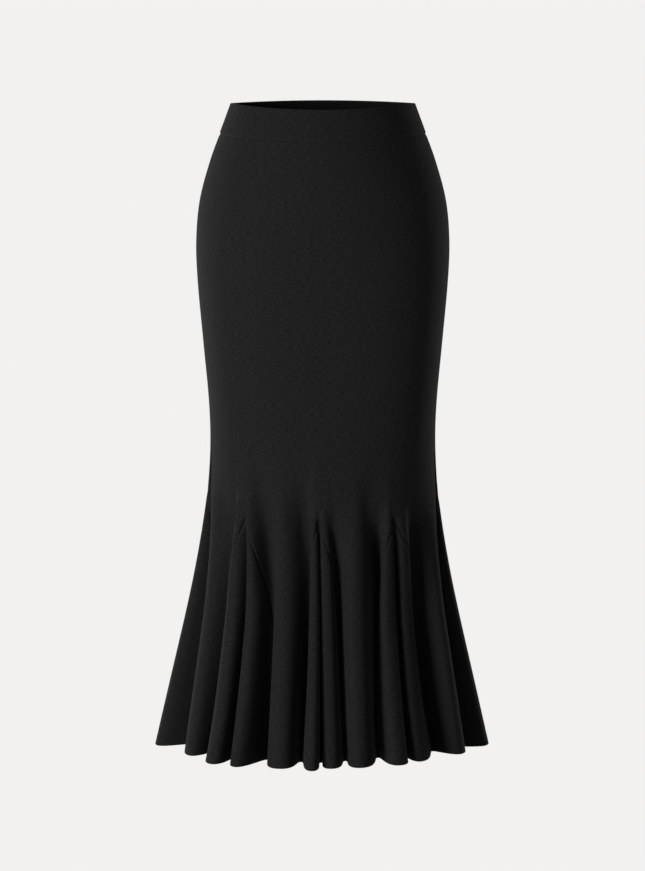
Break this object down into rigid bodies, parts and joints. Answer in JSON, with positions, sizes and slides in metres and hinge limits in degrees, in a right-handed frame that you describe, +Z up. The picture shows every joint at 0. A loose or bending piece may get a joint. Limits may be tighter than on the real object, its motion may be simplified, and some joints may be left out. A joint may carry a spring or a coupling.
{
  "type": "mermaid fishtail skirt",
  "caption": "Long pull-on knit skirt, smooth from a wide waistband to above the knees, then flared by godets into deep organ-pipe folds; worn form, hollow and open at waist and hem",
  "frame": {"origin": "centre of the waist opening, level with its upper edge at the sides, where the wearer's waist holds the skirt up", "axes": "+Z up, along the skirt's length; +X to the right of someone who looks at the front; +Y towards the back, the front faces -Y"},
  "size_m": [0.4392, 0.3689, 0.8423],
  "materials": {
    "knit": "matt black fine-gauge double knit with a soft heathered face",
    "band_knit": "the same black double knit, two layers over a hidden elastic"
  },
  "bodies": {
    "root": {"waistband_front": "band_knit", "waistband_back": "band_knit", "front_panel": "knit", "back_panel": "knit", "godet_side_left": "knit", "godet_front_left": "knit", "godet_front_centre": "knit", "godet_front_right": "knit", "godet_side_right": "knit", "godet_back_right": "knit", "godet_back_centre": "knit", "godet_back_left": "knit"}
  },
  "joints": []
}
